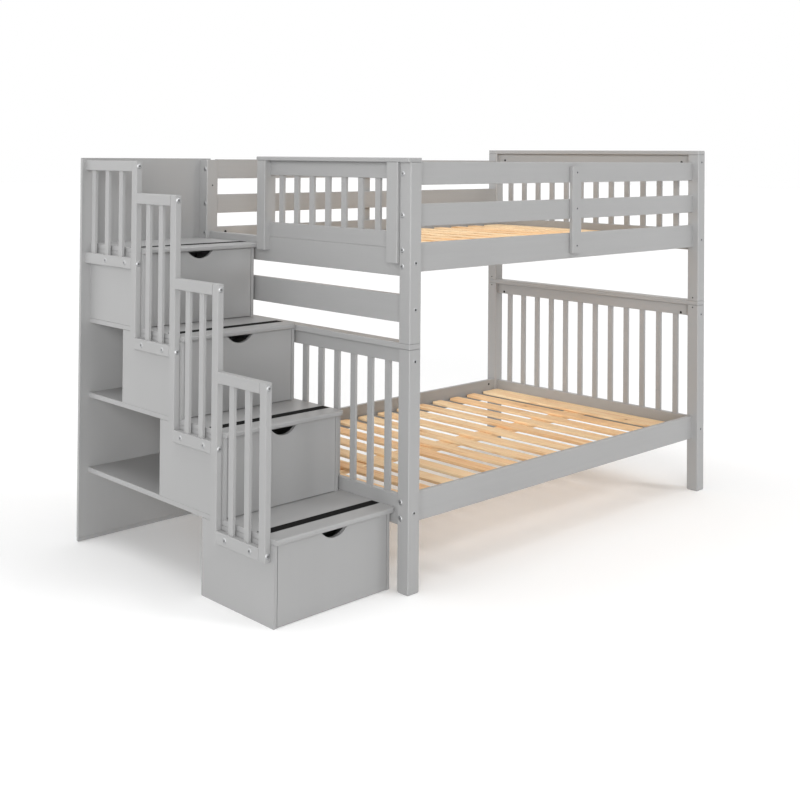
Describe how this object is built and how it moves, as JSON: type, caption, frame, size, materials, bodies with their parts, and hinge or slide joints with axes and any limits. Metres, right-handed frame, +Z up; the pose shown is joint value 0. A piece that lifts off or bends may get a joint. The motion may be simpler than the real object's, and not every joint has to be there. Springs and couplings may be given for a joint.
{
  "type": "bunk bed with storage stairs",
  "caption": "Painted wooden bunk bed over a same-width lower bed, with drawer steps, cubby shelves and a guarded landing at one end.",
  "frame": {"origin": "middle of the footprint, on the floor", "axes": "+X along the bed, away from the stairs; -Y is the front, where the drawers open; +Z up"},
  "size_m": [2.847, 1.496, 1.802],
  "materials": {
    "paint": "satin light grey paint",
    "pine": "bare planed pine",
    "grip": "matt black grip strip"
  },
  "bodies": {
    "bed_and_stairs": {"apron_rail": "paint", "centre_beams": "pine", "guard_bars": "paint", "guard_battens": "paint", "guard_boards_front": "paint", "guard_boards_rear": "paint", "guard_bottom_rail": "paint", "guard_cap": "paint", "guard_stiles": "paint", "guard_top_rail": "paint", "lower_bars_far": "paint", "lower_bars_stair": "paint", "lower_bottom_rail_stair": "paint", "lower_cap_far": "paint", "lower_cap_stair": "paint", "lower_end_rails_far": "paint", "lower_post_far_front": "paint", "lower_post_far_rear": "paint", "lower_post_stair_front": "paint", "lower_post_stair_rear": "paint", "lower_side_rail_front": "paint", "lower_side_rail_rear": "paint", "lower_slats": "pine", "lower_top_rail_stair": "paint", "mid_board": "paint", "slat_ledgers": "paint", "stair_back_lower": "paint", "stair_back_upper": "paint", "stair_box_backs": "paint", "stair_rail_bars": "paint", "stair_rail_posts": "paint", "stair_rails": "paint", "stair_sides_1": "paint", "stair_sides_2": "paint", "stair_sides_3": "paint", "stair_sides_4": "paint", "tread_1": "paint", "tread_2": "paint", "tread_3": "paint", "tread_4": "paint", "tread_grips": "grip", "upper_bars_far": "paint", "upper_cap_far": "paint", "upper_end_rails_far": "paint", "upper_post_far_front": "paint", "upper_post_far_rear": "paint", "upper_post_stair_front": "paint", "upper_post_stair_rear": "paint", "upper_side_rail_front": "paint", "upper_side_rail_rear": "paint", "upper_slats": "pine"},
    "drawer_1": {"drawer_front_1": "paint", "drawer_tray_1": "paint"},
    "drawer_2": {"drawer_front_2": "paint", "drawer_tray_2": "paint"},
    "drawer_3": {"drawer_front_3": "paint", "drawer_tray_3": "paint"},
    "drawer_4": {"drawer_front_4": "paint", "drawer_tray_4": "paint"}
  },
  "joints": [
    {"name": "drawer_1_slide", "type": "slide", "parent": "bed_and_stairs", "child": "drawer_1", "axis": [0, -1, 0], "range_m": [0, 0.3]},
    {"name": "drawer_2_slide", "type": "slide", "parent": "bed_and_stairs", "child": "drawer_2", "axis": [0, -1, 0], "range_m": [0, 0.3]},
    {"name": "drawer_3_slide", "type": "slide", "parent": "bed_and_stairs", "child": "drawer_3", "axis": [0, -1, 0], "range_m": [0, 0.3]},
    {"name": "drawer_4_slide", "type": "slide", "parent": "bed_and_stairs", "child": "drawer_4", "axis": [0, -1, 0], "range_m": [0, 0.3]}
  ]
}
